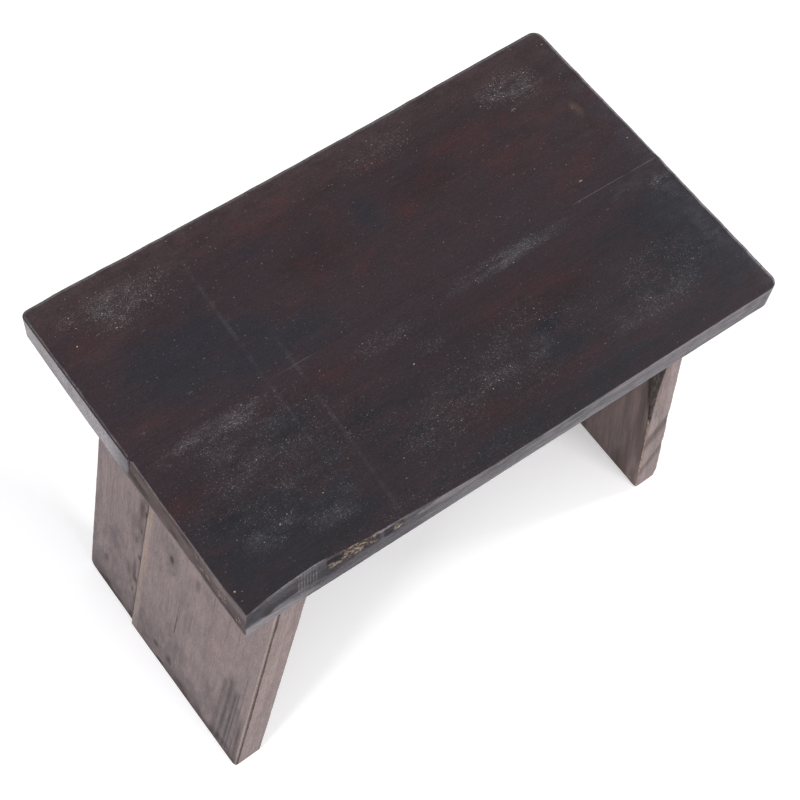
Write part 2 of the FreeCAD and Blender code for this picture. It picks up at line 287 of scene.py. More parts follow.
    def faces(self):
        """Four-sided faces of the wall and of both caps."""
        count = len(self.loop)
        here = np.arange(count)
        after = np.roll(here, -1)
        quads = []
        for level in range(self.level_count - 1):
            low, high = level * count, (level + 1) * count
            quads.append(np.column_stack([low + here, low + after, high + after, high + here]))
        long_count, wide_count = self.counts[:2]
        starts = np.cumsum((0, *self.counts))
        inside = (long_count - 1) * (wide_count - 1)
        first_cap = self.level_count * count
        last_rim = (self.level_count - 1) * count
        for rim, first, flip in ((0, first_cap, True), (last_rim, first_cap + inside, False)):
            grid = np.zeros((long_count + 1, wide_count + 1), int)
            ring = rim + np.append(here, 0)
            grid[:, 0] = ring[starts[0] : starts[1] + 1]
            grid[-1, :] = ring[starts[1] : starts[2] + 1]
            grid[:, -1] = ring[starts[2] : starts[3] + 1][::-1]
            grid[0, :] = ring[starts[3] : starts[4] + 1][::-1]
            grid[1:-1, 1:-1] = first + np.arange(inside).reshape(long_count - 1, wide_count - 1)
            corners = [grid[:-1, :-1], grid[1:, :-1], grid[1:, 1:], grid[:-1, 1:]]
            quad = np.stack(corners, axis=-1).reshape(-1, 4)
            quads.append(quad[:, ::-1] if flip else quad)
        return np.vstack(quads)

    def push(self, amount):
        """Moves the surface out by a number of millimetres at each point."""
        self.place = self.place + self.normal * amount[:, None] * MM

    def in_mm(self):
        """Where each point was laid out, in millimetres: along, across and through the plank."""
        return self.flat.T / MM

    def paint(self, name, values):
        """Raises a mask to at least these values."""
        self.masks[name] = np.maximum(self.masks[name], np.clip(values, 0, 1))

    def build(self, name, to_frame, mirrored, material):
        """Makes the mesh, with its masks and grain coordinates, and puts it in the frame."""
        quads = self.faces()
        if mirrored:
            quads = quads[:, ::-1]
        mesh = bpy.data.meshes.new(name)
        mesh.from_pydata(to_frame(self.place).tolist(), [], quads.tolist())
        mesh.polygons.foreach_set("use_smooth", np.ones(len(mesh.polygons), bool))
        for mask, values in self.masks.items():
            mesh.attributes.new(mask, "FLOAT", "POINT").data.foreach_set("value", values.astype(np.float32))
        grain = (self.flat + np.array(GRAIN_SHIFT) * self.seed).astype(np.float32)
        mesh.attributes.new("grain", "FLOAT_VECTOR", "POINT").data.foreach_set("vector", grain.ravel())
        mesh.materials.append(material)
        piece = bpy.data.objects.new(name, mesh)
        bpy.context.scene.collection.objects.link(piece)
        return piece


class Tree:
    """Short forms for building one material's nodes."""

    def __init__(self, name):
        self.material = bpy.data.materials.new(name)
        self.material.use_nodes = True
        self.nodes = self.material.node_tree.nodes
        self.links = self.material.node_tree.links
        self.nodes.clear()

    def node(self, kind, inputs=(), output=0, **settings):
        node = self.nodes.new("ShaderNode" + kind)
        for key, setting in settings.items():
            setattr(node, key, setting)
        for key, value in inputs.items() if isinstance(inputs, dict) else enumerate(inputs):
            if isinstance(value, bpy.types.NodeSocket):
                self.links.new(value, node.inputs[key])
            elif value is not None:
                node.inputs[key].default_value = value
        return node.outputs[output]

    def math(self, operation, *values):
        return self.node("Math", values, operation=operation)

    def times(self, a, b):
        return self.math("MULTIPLY", a, b)

    def plus(self, a, b):
        return self.math("ADD", a, b)

    def times_plus(self, a, b, c):
        return self.math("MULTIPLY_ADD", a, b, c)

    def mask(self, name):
        return self.node("Attribute", output="Fac", attribute_name=name)

    def noise(self, vector, size, detail=3.0, rough=0.55, warp=0.0):
        """Noise from 0 to 1 with a feature size in millimetres along each axis."""
        scale = tuple(1 / (s * MM) for s in size)
        scaled = self.node("VectorMath", (vector, scale), operation="MULTIPLY")
        sockets = {"Vector": scaled, "Scale": 1.0, "Detail": detail, "Roughness": rough, "Distortion": warp}
        return self.node("TexNoise", sockets, output="Fac")

    def ramp(self, value, low, high, start=0.0, end=1.0):
        """Eases a value from start at low to end at high."""
        return self.node("MapRange", (value, low, high, start, end), interpolation_type="SMOOTHSTEP")

    def blend(self, factor, a, b, mode="MIX"):
        node = self.nodes.new("ShaderNodeMix")
        node.data_type = "RGBA"
        node.blend_type = mode
        for index, value in ((0, factor), (6, a), (7, b)):
            if isinstance(value, bpy.types.NodeSocket):
                self.links.new(value, node.inputs[index])
            else:
                node.inputs[index].default_value = value if index == 0 else (*value, 1.0)
        return node.outputs[2]

    def finish(self, shader):
        output = self.nodes.new("ShaderNodeOutputMaterial")
        self.links.new(shader, output.inputs[0])
        return self.material


def stained_wood(name, colours, lines=(), chips=()):
    """Waxed stained wood. The masks on the plank say where it is worn, hazy, bare or dark, and where
    highlights and shadows are painted on it.
    """
    t = Tree(name)
    grain = t.node("Attribute", output="Vector", attribute_name="grain")
    masks = {mask: t.mask(mask) for mask in MASKS}

    figure = t.noise(grain, (150, 9, 9), detail=4, rough=0.6, warp=0.5)
    streaks = t.noise(grain, (50, 2.2, 2.2), detail=4, rough=0.65, warp=0.3)
    fibres = t.noise(grain, (12, 0.7, 0.7), detail=3, rough=0.6)
    mottle = t.noise(grain, (36, 17, 17), detail=6, rough=0.62, warp=0.6)
    clouds = t.noise(grain, (20, 10, 10), detail=5, rough=0.7)
    blotches = t.noise(grain, (3.5, 2.2, 2.2), detail=4, rough=0.7, warp=0.8)
    grit = t.noise(grain, (1.7, 1.1, 1.1), detail=2, rough=0.6)

    # The stained face, mottled in two tints
    tilt = t.times(t.math("SUBTRACT", masks["red"], t.times(masks["navy"], 1.3)), 0.29)
    leaning = t.plus(t.times_plus(streaks, 0.16, mottle), tilt)
    leaning = t.times_plus(grit, 0.16, leaning)
    face = t.blend(t.ramp(leaning, 0.68, 1.05), colours["base"], colours["red"])
    face = t.blend(t.ramp(leaning, 0.64, 0.3), face, colours["navy"])
    grained = t.times_plus(streaks, 0.5, t.times(figure, 0.5))
    face = t.blend(t.ramp(grained, 0.52, 0.36, 0.0, colours["grain"]), face, colours["deep"])
    clusters = t.times(t.ramp(streaks, 0.47, 0.32), t.ramp(clouds, 0.42, 0.62))
    face = t.blend(t.times(clusters, colours["clusters"]), face, colours["deep"])
    face = t.blend(masks["shade"], face, SHADED, "MULTIPLY")
    under = t.blend(t.ramp(grained, 0.38, 0.62), colours["under_deep"], colours["under"])
    face = t.blend(masks["under"], face, under)
    edge = t.blend(t.ramp(grained, 0.36, 0.6), colours["side_deep"], colours["side"])
    on_side = t.ramp(masks["side"], 0.3, 0.9)
    face = t.blend(on_side, face, edge)
    face = t.blend(t.times(masks["brown"], t.ramp(clouds, 0.3, 0.6, 0.4, 1.0)), face, colours["brown"])

    # Wax bloom, worn dust, and the bands and cracks
    bloom = t.times(masks["haze"], t.ramp(clouds, 0.3, 0.68, 0.0, colours["bloom"]))
    face = t.blend(t.times(bloom, t.ramp(blotches, 0.25, 0.7, 0.5, 1.0)), face, colours["haze"])
    for line in lines:
        face = t.blend(drawn_line(t, line, clouds), face, colours[line["colour"]])
    face = dust(t, grain, masks["worn"], clouds, grit, face, colours)

    # Dark streaks and painted shadow, short dark dashes in the grain, rubbed arrises and painted highlights,
    # and bare wood
    stain_and_painted_shadow = t.times(masks["dark"], t.ramp(t.plus(streaks, fibres), 0.75, 1.2, 0.6, 1.3))
    face = t.blend(stain_and_painted_shadow, face, colours["dark"])
    dashes = t.noise(grain, (7, 0.8, 0.8), detail=2, rough=0.5)
    dashed = t.times_plus(on_side, colours["side_dashes"] - colours["dashes"], colours["dashes"])
    face = t.blend(t.times(t.ramp(dashes, 0.6, 0.72), dashed), face, colours["deep"])
    rub_and_highlight_amount = t.times(masks["rub_and_highlight"], t.ramp(blotches, 0.3, 0.6, 0.35, 1.0))
    face = t.blend(rub_and_highlight_amount, face, colours["rub_and_highlight"])
    chunks = t.noise(grain, (4.5, 2.6, 2.6), detail=3, rough=0.5, warp=1.0)
    chunks = t.times_plus(blotches, 0.45, t.times(chunks, 0.55))
    tan = t.blend(t.ramp(chunks, 0.45, 0.6), colours["bare_deep"], colours["bare"])
    bare = t.ramp(t.times_plus(clouds, 0.6, masks["bare"]), 0.62, 0.95)
    face = t.blend(t.times(bare, t.ramp(masks["bare"], 0.05, 0.3)), face, tan)
    for chip in chips:
        face = t.blend(chipped(t, blotches, *chip), face, colours["chip"])

    # Fine unevenness of tone, and slanting saw marks on the sides
    place = t.node("SeparateXYZ", (grain,), output="X")
    slant = t.times_plus(place.node.outputs["Z"], 0.8, t.times(place, 0.6))
    slant = t.times_plus(clouds, 2.5 * MM, slant)
    kerf = t.math("SINE", t.times(slant, 2 * math.pi / colours["pitch"]))
    kerf = t.times(kerf, t.times_plus(masks["dark"], 1.5, 0.7))
    sawn = t.times(t.times(kerf, on_side), t.ramp(mottle, 0.35, 0.65))
    tone = t.ramp(grit, 0.2, 0.8, 1 - colours["grit"], 1 + colours["grit"])
    fibrous = t.times_plus(on_side, colours["side_fibre"] - colours["fibre"], colours["fibre"])
    tone = t.times_plus(t.ramp(fibres, 0.3, 0.7, -1.0, 1.0), fibrous, tone)
    tone = t.times_plus(t.ramp(clouds, 0.3, 0.7, -1.0, 1.0), colours["cloudy"], tone)
    tone = t.times_plus(sawn, colours["sawn"], tone)
    face = t.blend(1.0, face, tone, "MULTIPLY")

    height = t.times_plus(streaks, 0.5, t.times(fibres, 0.5))
    height = t.math("SUBTRACT", height, t.times(t.ramp(dashes, 0.62, 0.72), 0.6))
    height = t.times_plus(sawn, 0.12, height)
    bump = t.node("Bump", {"Strength": 0.35, "Distance": 0.3 * MM, "Height": height}, output="Normal")

    rough = t.times_plus(clouds, 0.18, colours["gloss"])
    for mask, rise in (("worn", 0.1), ("bare", 0.2), ("dark", 0.3)):
        rough = t.times_plus(masks[mask], rise, rough)
    sockets = {"Base Color": face, "Roughness": rough, "Normal": bump}
    sockets["Specular IOR Level"] = colours["shine"]
    return t.finish(t.node("BsdfPrincipled", sockets, output="BSDF"))


def dust(t, grain, worn, clouds, grit, face, colours):
    """Fine pale dust where the stain is worn, with brighter flecks in it."""
    patchy = t.times(worn, t.ramp(clouds, 0.34, 0.62, 0.15, 1.0))
    powder = t.times(patchy, t.ramp(grit, 0.46, 0.74, 0.0, 0.36))
    face = t.blend(powder, face, colours["dust"])
    for cell, share, stray, brightest in FLECKS:
        scaled = t.node("VectorMath", (grain, tuple(1 / size for size in cell)), operation="MULTIPLY")
        cells = t.node("TexVoronoi", {"Vector": scaled, "Scale": 1.0, "Randomness": 1.0}, output=0)
        chance = t.node("SeparateColor", (cells.node.outputs["Color"],), output=0)
        warmth = chance.node.outputs[1]
        strength = t.math("POWER", chance.node.outputs[2], 2.2)
        chosen = t.ramp(t.plus(chance, t.times_plus(patchy, share, stray)), 0.98, 1.02)
        dot = t.times(t.ramp(cells, 0.5, 0.2), chosen)
        fleck = t.blend(warmth, colours["speck_cool"], colours["speck_warm"])
        face = t.blend(t.times(dot, t.ramp(strength, 0.0, 1.0, 0.1, brightest)), face, fleck)
    return face


def drawn_line(t, line, clouds):
    """The mask of a soft line between two places, seen along one axis and broken up by the clouds."""
    (start_a, start_b), (end_a, end_b) = line["from"], line["to"]
    spot = t.node("TexCoord", output="Object")
    split = t.node("SeparateXYZ", (spot,), output="X").node.outputs
    a, b = (split[axis] for axis in line["axes"])
    lean = (end_a - start_a) / (end_b - start_b)
    centre = t.times_plus(t.math("SUBTRACT", b, start_b * MM), lean, start_a * MM)
    off = t.math("ABSOLUTE", t.math("SUBTRACT", a, centre))
    near = t.ramp(off, 0.75 * line["width"] * MM, 0.1 * line["width"] * MM)
    low, high = sorted((start_b * MM, end_b * MM))
    fade = line["fade"] * MM
    within = t.times(t.ramp(b, low - fade / 2, low + fade), t.ramp(b, high + fade / 2, high - fade))
    broken = t.ramp(clouds, 0.34, 0.62, line["faint"] * line["strength"], line["strength"])
    mask = t.times(t.times(near, within), broken)
    if line["axes"] == "YZ":
        mask = t.times(mask, t.math("LESS_THAN", split["X"], 0.0))
    return mask


def chipped(t, blotches, x, y, radius):
    """The mask of one small chip in the seat's upper face."""
    spot = t.node("TexCoord", output="Object")
    far = t.node("VectorMath", (spot, (x * MM, y * MM, SEAT_TOP)), output="Value", operation="DISTANCE")
    ragged = t.times_plus(blotches, -1.2 * radius * MM, far)
    return t.ramp(ragged, 0.5 * radius * MM, 0.1 * radius * MM, 0.0, 0.7)


# What is left of the tone where the stain lies thickest
SHADED = (0.48, 0.51, 0.545)
# Three sizes of fleck: cell size, how thick they lie in the worn patches and elsewhere, and the brightest
FLECKS = (
    ((0.6 * MM, 0.45 * MM, 0.45 * MM), 0.5, 0.003, 0.6),
    ((0.8 * MM, 0.62 * MM, 0.62 * MM), 0.24, 0.0004, 0.8),
    ((1.15 * MM, 0.9 * MM, 0.9 * MM), 0.06, 0.0, 0.85),
)
SEAT_COLOURS = {
    "base": (0.0305, 0.0206, 0.0248),
    "red": (0.0455, 0.0205, 0.0228),
    "navy": (0.0216, 0.02, 0.0259),
    "deep": (0.016, 0.012, 0.014),
    "grain": 0.22,
    "clusters": 0.15,
    "dashes": 0.25,
    "side_dashes": 0.75,
    "under_deep": (0.05, 0.035, 0.03),
    "under": (0.085, 0.06, 0.05),
    "side_deep": (0.059, 0.053, 0.06),
    "side": (0.116, 0.105, 0.117),
    "brown": (0.112, 0.067, 0.058),
    "bloom": 0.5,
    "haze": (0.075, 0.074, 0.086),
    "band": (0.065, 0.058, 0.064),
    "dust": (0.12, 0.113, 0.121),
    "speck_cool": (0.48, 0.48, 0.51),
    "speck_warm": (0.43, 0.37, 0.31),
    "chip": (0.4, 0.33, 0.26),
    "dark": (0.0105, 0.009, 0.0128),
    "rub_and_highlight": (0.31, 0.285, 0.3),
    "bare_deep": (0.045, 0.032, 0.026),
    "bare": (0.266, 0.208, 0.172),
    "grit": 0.2,
    "fibre": 0.05,
    "side_fibre": 0.4,
    "cloudy": 0.04,
    "sawn": 0.05,
    "pitch": 2.2 * MM,
    "gloss": 0.44,
    "shine": 0.2,
}
LEG_COLOURS = {
    "base": (0.2, 0.146, 0.145),
    "red": (0.275, 0.19, 0.15),
    "navy": (0.102, 0.074, 0.077),
    "deep": (0.085, 0.062, 0.063),
    "grain": 0.5,
    "clusters": 0.6,
    "dashes": 0.85,
    "side_dashes": 0.7,
    "under_deep": (0.062, 0.037, 0.033),
    "under": (0.15, 0.093, 0.083),
    "side_deep": (0.14, 0.1, 0.093),
    "side": (0.218, 0.159, 0.152),
    "brown": (0.16, 0.112, 0.095),
    "bloom": 0.6,
    "haze": (0.25, 0.195, 0.19),
    "dust": (0.26, 0.205, 0.195),
    "speck_cool": (0.34, 0.28, 0.27),
    "speck_warm": (0.36, 0.27, 0.2),
    "dark": (0.0155, 0.009, 0.008),
    "rub_and_highlight": (0.33, 0.255, 0.215),
    "bare_deep": (0.2, 0.14, 0.1),
    "bare": (0.4, 0.3, 0.21),
    "grit": 0.2,
    "fibre": 0.13,
    "side_fibre": 0.16,
    "cloudy": 0.12,
    "sawn": 0.22,
    "pitch": 1.4 * MM,
    "gloss": 0.46,
    "shine": 0.25,
}


# The seat's joint falls towards the right, in millimetres: by how much, from where, over what length
SEAM_DROP = 11.5
SEAM_START = -214.8
SEAM_RUN = 430.5
# Where the lines along a leg's front arris end, in millimetres above the floor
ARRIS_FOOT = 4


def soft_line(axes, start, end, width, strength, faint, fade, colour):
    """A line in millimetres between two places on two axes. Faint is what is left where it is broken."""
    return {
        "axes": axes, "from": start, "to": end, "width": width, "strength": strength,
        "faint": faint, "fade": fade, "colour": colour,
    }


def pale_band(start, end, width, strength):
    return soft_line("XY", start, end, width, strength, faint=0.1, fade=22, colour="band")


def crack(start, end, width, strength):
    return soft_line("YZ", start, end, width, strength, faint=0.5, fade=5, colour="dark")


def seam_line(start, end, width, strength, colour):
    places = [(SEAM_LEFT / MM - SEAM_DROP * (x - SEAM_START) / SEAM_RUN, x) for x in (start, end)]
    return soft_line("YX", *places, width, strength, faint=0.12, fade=8, colour=colour)


def arris_line(y, top, width, strength, colour):
    return soft_line("YZ", (y, top), (y, ARRIS_FOOT), width, strength, faint=0.7, fade=5, colour=colour)


def tick(x):
    return soft_line("XY", (x, -120), (x - 3.4, -125), 1.0, 0.55, faint=0.3, fade=1.2, colour="rub_and_highlight")


# Lines along the seat's joint
SEAM_LINES = (
    seam_line(-214, -172, 1.0, 0.9, "dark"),
    seam_line(-172, -110, 0.8, 0.15, "dark"),
    seam_line(-107, -76, 0.7, 0.12, "rub_and_highlight"),
    seam_line(-75, 60, 0.8, 0.2, "dark"),
    seam_line(-26, -4, 0.9, 0.4, "dark"),
    seam_line(138, 214, 0.6, 0.24, "rub_and_highlight"),
)
# Pale bands across the seat, in millimetres
PALE_BANDS = (
    pale_band((-107, 112), (-112, -2), 3.4, 0.27),
    pale_band((-112, -2), (-114, -85), 2.8, 0.24),
    pale_band((-89, 25), (-93, -70), 3.4, 0.28),
    pale_band((-93, -70), (-97, -130), 3.0, 0.26),
)
# Short pale ticks that a blade left across the natural bevel
CHATTER = tuple(tick(x) for x in (-172, -169.9, -167.8, -165.6, -163.4, -161.2, -159))
# Dark cracks in the left leg, and the lines along its front arris
LEG_CRACKS = (
    crack((-12.7, 140), (-12.2, 106), 1.4, 0.45),
    crack((-12.2, 108), (-11.0, 74), 1.8, 0.95),
    crack((-28.5, 138), (-27.3, 104), 1.4, 0.5),
    crack((-76, 112), (-73, 6), 6.0, 0.6),
    crack((-83, 124), (-80, 4), 5.0, 0.8),
    crack((-89, 110), (-87, 3), 3.0, 0.85),
    crack((-92.5, 118), (-91, 3), 1.5, 0.7),
    crack((-97, 150), (-96, 3), 1.8, 0.5),
    arris_line(-106.8, 334, 0.9, 0.95, "dark"),
    arris_line(-105.2, 300, 0.8, 0.6, "rub_and_highlight"),
)
# Chips in the seat's surface, in millimetres: x, y, radius
CHIPS = (
    (-197, 91, 0.6),
    (211, 117, 0.6),
    (208, 17, 0.5),
    (-27, -43, 0.6),
    (-162, -86, 0.5),
    (-209, -106, 0.6),
)

# Marks on the seat, in millimetres: along, across, half length, half width, strength
SEAT_MARKS = {
    "worn": (
        (-157, 103, 40, 15, 0.66), (165, 98, 32, 15, 0.8), (-168, -10, 45, 8, 1.0),
        (-140, -8, 20, 8, 1.0), (-148, -36, 48, 24, 0.36), (-140, -50, 72, 50, 0.3),
        (20, -74, 95, 32, 0.23), (-145, -67, 18, 11, 0.6), (-170, -88, 24, 10, 0.6),
        (-176, -17, 22, 7, 0.7), (205, -27, 12, 14, 0.3), (-128, -95, 27, 13, 0.5),
        (-34, -17, 30, 8, 0.4), (76, -13, 50, 7, 0.8), (-8, -40, 14, 10, 0.35),
        (0, -82, 54, 14, 0.5), (-42, -91, 36, 15, 0.45), (50, -78, 11, 10, 0.5),
        (30, -98, 28, 9, 0.4), (138, -98, 42, 13, 0.4), (158, -79, 40, 20, 0.4),
        (60, 108, 34, 14, 0.25), (-70, -125, 110, 14, 0.2),
    ),
    "haze": (
        (-162, 104, 24, 11, 0.8), (165, 98, 26, 10, 0.7), (-163, -9, 38, 6, 0.9),
        (-170, -88, 21, 9, 0.55), (182, -16, 24, 9, 0.5), (205, -70, 12, 26, 0.8),
        (205, -27, 12, 16, 0.8), (-128, -95, 24, 11, 0.5), (76, -13, 46, 6, 1.0),
        (50, -78, 11, 10, 0.6), (5, -77, 44, 13, 0.25), (134, -98, 40, 11, 0.35),
        (198, -55, 18, 62, 0.3), (212, 10, 7, 125, 0.3), (-148, -38, 40, 20, 0.3),
    ),
    "red": (
        (108, 66, 105, 38, 0.7), (-40, 108, 75, 22, 0.8), (-20, 50, 80, 40, 0.42),
        (-186, 18, 34, 15, 0.35), (-198, 90, 20, 20, 0.7), (-75, -27, 36, 24, 0.4),
        (80, -42, 68, 24, 0.8), (22, -103, 64, 12, 0.7), (-204, -43, 18, 14, 0.9),
        (42, 94, 26, 12, 0.7), (160, 20, 60, 16, 0.4),
    ),
    "navy": (
        (-142, 42, 62, 32, 1.0), (-92, 18, 60, 20, 0.9), (60, -72, 18, 8, 0.9),
        (18, 68, 15, 22, 0.7), (15, 97, 16, 7, 0.8), (-68, 87, 24, 9, 0.6),
        (-165, -95, 80, 40, 1.0), (-70, -95, 44, 22, 0.6), (72, -87, 34, 11, 0.8),
        (142, -43, 28, 10, 0.7), (190, -70, 42, 60, 1.0), (-58, -58, 36, 14, 0.5),
        (60, -122, 150, 12, 0.8), (-108, -62, 24, 22, 0.6), (-84, -68, 26, 16, 0.7),
        (-120, -33, 20, 12, 0.6), (128, -88, 30, 12, 0.7),
    ),
    "shade": (
        (84, -56, 40, 16, 0.75), (62, -70, 16, 9, 0.8), (-186, -64, 18, 12, 0.7),
        (-90, -56, 32, 20, 0.6), (66, 70, 28, 18, 0.42), (-30, 62, 32, 18, 0.36),
    ),
    "brown": ((194.5, 58, 5, 8, 0.7), (185, 72, 46, 40, 0.09), (-178, 92, 50, 26, 0.08)),
    "bare": ((195, 58, 3, 5, 0.42), (-197, 13, 6, 5, 0.4), (-97, -90, 5, 5, 0.3), (-94, -80, 4, 4, 0.3)),
}


def surface_relief(plank, joint_side=None):
    """The slow unevenness of planed wood, and a rougher skin on its sawn sides. A glued joint stays true."""
    loose = 1 if joint_side is None else ease(plank.steps[joint_side], 0, 12)
    slow = noise(plank.flat, (70, 30, 30), plank.seed)
    quick = noise(plank.flat, (16, 5, 5), plank.seed + 1)
    sawn = noise(plank.flat, (3, 7, 7), plank.seed + 2)
    plank.push(loose * (0.12 * slow + 0.05 * quick + 0.1 * sawn * plank.masks["side"]))


def paint_seat(plank, seam_side):
    """Puts the seat's marks on its upper face, rubs its outer arrises but not the joint line, and paints a
    highlight along the back and right arrises.
    """
    top = ease(plank.normal[:, 2], 0.5, 0.95)
    for mask, spots in SEAT_MARKS.items():
        plank.paint(mask, top * patches(plank.flat, spots))
    x, y, z = plank.in_mm()
    depth = plank.thickness / MM - z
    patchy = noise(plank.flat, (60, 22, 22), 61)
    plank.paint("shade", top * (0.36 + 0.14 * patchy) * ease(y, 20, -50))
    plank.paint("brown", 0.17 * top * ease(y, 90, 120))
    margin = np.maximum(ease(x, 196, 212), 0.6 * ease(y, 116, 130))
    plank.paint("haze", top * (0.6 + 0.2 * patchy) * margin)
    outer = (plank.side >= 0) * (plank.side != seam_side)
    front = outer * (y < -100) * (x < 205)
    plank.paint("rub_and_highlight", (0.4 * outer - 0.22 * front) * hump(depth, 0.8, 1.4, 0.7))
    plank.paint("rub_and_highlight", 0.4 * outer * ease(z, 1.6, 0.2))
    wane_line = ease(x, -60, -120) * ease(x, -208, -185)
    wane_line *= 1 - hump(x, -151, -122, 5)
    plank.paint("rub_and_highlight", 0.45 * front * wane_line * hump(depth, 0.02, 0.3, 0.1))
    # Painted highlight along the back and right arrises, where their roundover catches the light
    for far_side, strength in ((1, 0.55), (2, 0.3)):
        if far_side != seam_side:
            highlight_by_arris = ease(plank.steps[far_side], 1.3, 0) * ease(plank.normal[:, 2], 0.2, 0.5)
            plank.paint("rub_and_highlight", strength * highlight_by_arris)


def paint_left_end(plank, position):
    """The left end: pale on the rear board, partly rubbed and partly painted light from the left; stained
    brown with bare patches on the front one.
    """
    _, y, z = plank.in_mm()
    depth = plank.thickness / MM - z
    end = (plank.side == 3) * ease(plank.masks["side"], 0.2, 0.6)
    mottled = noise(plank.flat, (9, 12, 5), plank.seed + 21)
    ragged = ease(noise(plank.flat, (4, 7, 4), plank.seed + 22), -0.5, 0.2)
    if position == "rear":
        # Painted light from the left, laid over the rear end's own paler rubbed tone
        pale = end * (1.0 + 0.3 * mottled) * ease(depth, 1.2, 2.4)
        plank.paint("rub_and_highlight", pale * ease(y, 2, 34))
        facing = np.where(plank.side == 3, plank.normal[:, 2], 0)
        arris = hump(facing, 0.3, 0.6, 0.2)
        plank.masks["rub_and_highlight"] *= 1 - arris
        plank.paint("dark", 0.75 * arris)
        plank.paint("rub_and_highlight", 0.3 * (0.5 + 0.5 * ragged) * hump(facing, 0.8, 0.95, 0.04))
        return
    by_corner = ease(y, -50, -95)
    share = z * MM / plank.thickness
    plank.paint("brown", end * (1.1 + 0.3 * mottled))
    plank.paint("dark", end * (0.46 + 0.3 * mottled) * ease(share, 0.03, 0.2))
    plank.paint("rub_and_highlight", 0.22 * end * by_corner * ease(share, 0.62, 0.78))
    plank.paint("rub_and_highlight", 0.32 * (plank.side == 3) * ragged * hump(depth, 0.5, 1.0, 0.3))
    for spot_y, spot_share, half_length, half_height, strength in END_SPOTS:
        far = np.hypot((y - spot_y) / half_length, (share - spot_share) / half_height)
        plank.paint("bare", strength * end * ease(far + 0.4 * mottled, 1.4, 0.4))
    plank.push(-0.4 * end * ease(mottled, 0.1, 0.6))


def along_edge(plank, side, stops):
    """A length for each outline point of one side, from stops along it in millimetres, and 0 elsewhere."""
    across_end = side in (1, 3)
    places, lengths = zip(*stops)
    value = np.interp(plank.loop[:, 1 if across_end else 0], np.array(places) * MM, np.array(lengths) * MM)
    value = np.where(plank.loop_side == side, value, 0)
    return np.mean([np.roll(value, shift) for shift in range(-4, 5)], axis=0)


def lean_end(plank, stops):
    """Cuts the left end out of square, so that it stands further out at the bottom."""
    lean = along_edge(plank, 3, stops)
    plank.shaved += lean[:, None] * (plank.wall_heights() / plank.thickness - LEAN_AXIS)


def to_seat(places):
    return places + np.array((0, 0, SEAT_UNDER))


# Bare spots on the front board's left end: place across, share of the thickness, half sizes, strength
END_SPOTS = (
    (-72, 0.7, 3, 0.12, 0.55),
    (-80, 0.42, 10, 0.22, 0.54),
    (-101, 0.4, 7, 0.28, 0.6),
    (-117, 0.35, 5, 0.28, 0.54),
)
# How far the back edge and the left end are hollowed, and how much the left end leans: place, depth
BACK_HOLLOW = (
    (-214, 0.2), (-184, -0.5), (-123, 0.8), (-61, 1.4),
    (0, 1.7), (61, 1.6), (123, 0.9), (184, 0.2),
)
END_HOLLOW = ((60, 0), (134, 0.6))
RIGHT_BULGE = ((-135, -0.5), (-60, -0.8), (0, -0.8), (131, -0.6))
REAR_END_LEAN = ((0, 2.2), (50, 2.0), (110, 0.9), (134, 0.4))
FRONT_END_LEAN = ((-125, 2.0), (0, 2.8))
# The share of the thickness at which the lean is nil, and at which the natural bevel begins
LEAN_AXIS = 0.45
WANE_FROM = 0.42
# How far the natural bevel on the front edge cuts in at the top, along the edge and round the left end
FRONT_WANE = (
    (-214, 3.0), (-185, 5.8), (-158, 6.9), (-140, 5.2), (-115, 2.6),
    (-65, 0.8), (-30, -0.3), (20, -0.5), (110, 0),
)
END_WANE = ((-125, 1.7), (-100, 0.4), (-60, 0.2), (-10, 0.5), (4, 0.9))
# Where the bevel's dark stain begins, as a share of the thickness: place along the edge, share
STAIN_FROM = (
    (-214, 0.42), (-203, 0.44), (-190, 0.54), (-170, 0.58),
    (-150, 0.5), (-107, 0.66), (-80, 0.85), (-50, 1.2),
)


def rear_seat_board(material):
    left = SEAT_LEFT_X["rear"]
    corners = (
        (left, SEAM_LEFT),
        (SEAM_RIGHT_X, SEAM_RIGHT),
        (rear_high.x, REAR_RIGHT_Y),
        (left, rear_high.y),
    )
    radii = (0.4, 0.7, 8, 5.5)
    tops = (0.02, 2.2, 2.4, 1.8)
    plank = Plank(corners, radii, SEAT_THICKNESS, tops, SEAT_LOW_RADII, seed=1)
    hollow = along_edge(plank, 2, BACK_HOLLOW) + along_edge(plank, 3, END_HOLLOW)
    plank.shaved += (hollow + along_edge(plank, 1, RIGHT_BULGE))[:, None]
    lean_end(plank, REAR_END_LEAN)
    plank.lay_out()
    surface_relief(plank, joint_side=0)
    paint_seat(plank, seam_side=0)
    paint_left_end(plank, "rear")
    return plank.build("seat_rear", to_seat, False, material)


def front_seat_board(material):
    left = SEAT_LEFT_X["front"]
    corners = (
        (left, FRONT_LEFT_Y),
        (FRONT_RIGHT_X, front_low.y),
        (SEAM_RIGHT_X, SEAM_RIGHT),
        (left, SEAM_LEFT),
    )
    radii = (1.2, 8, 0.7, 0.4)
    tops = (0.45, 2.2, 0.02, 1.2)
    plank = Plank(corners, radii, SEAT_THICKNESS, tops, SEAT_LOW_RADII, seed=2)
    plank.shaved += along_edge(plank, 1, RIGHT_BULGE)[:, None]
    rise = np.clip((plank.wall_heights() / plank.thickness - WANE_FROM) / (1 - WANE_FROM), 0, 1)
    plank.shaved += (along_edge(plank, 0, FRONT_WANE) + along_edge(plank, 3, END_WANE))[:, None] * rise
    lean_end(plank, FRONT_END_LEAN)
    plank.lay_out()
    surface_relief(plank, joint_side=2)
    tear_wane(plank)
    paint_seat(plank, seam_side=2)
    paint_left_end(plank, "front")
    return plank.build("seat_front", to_seat, False, material)


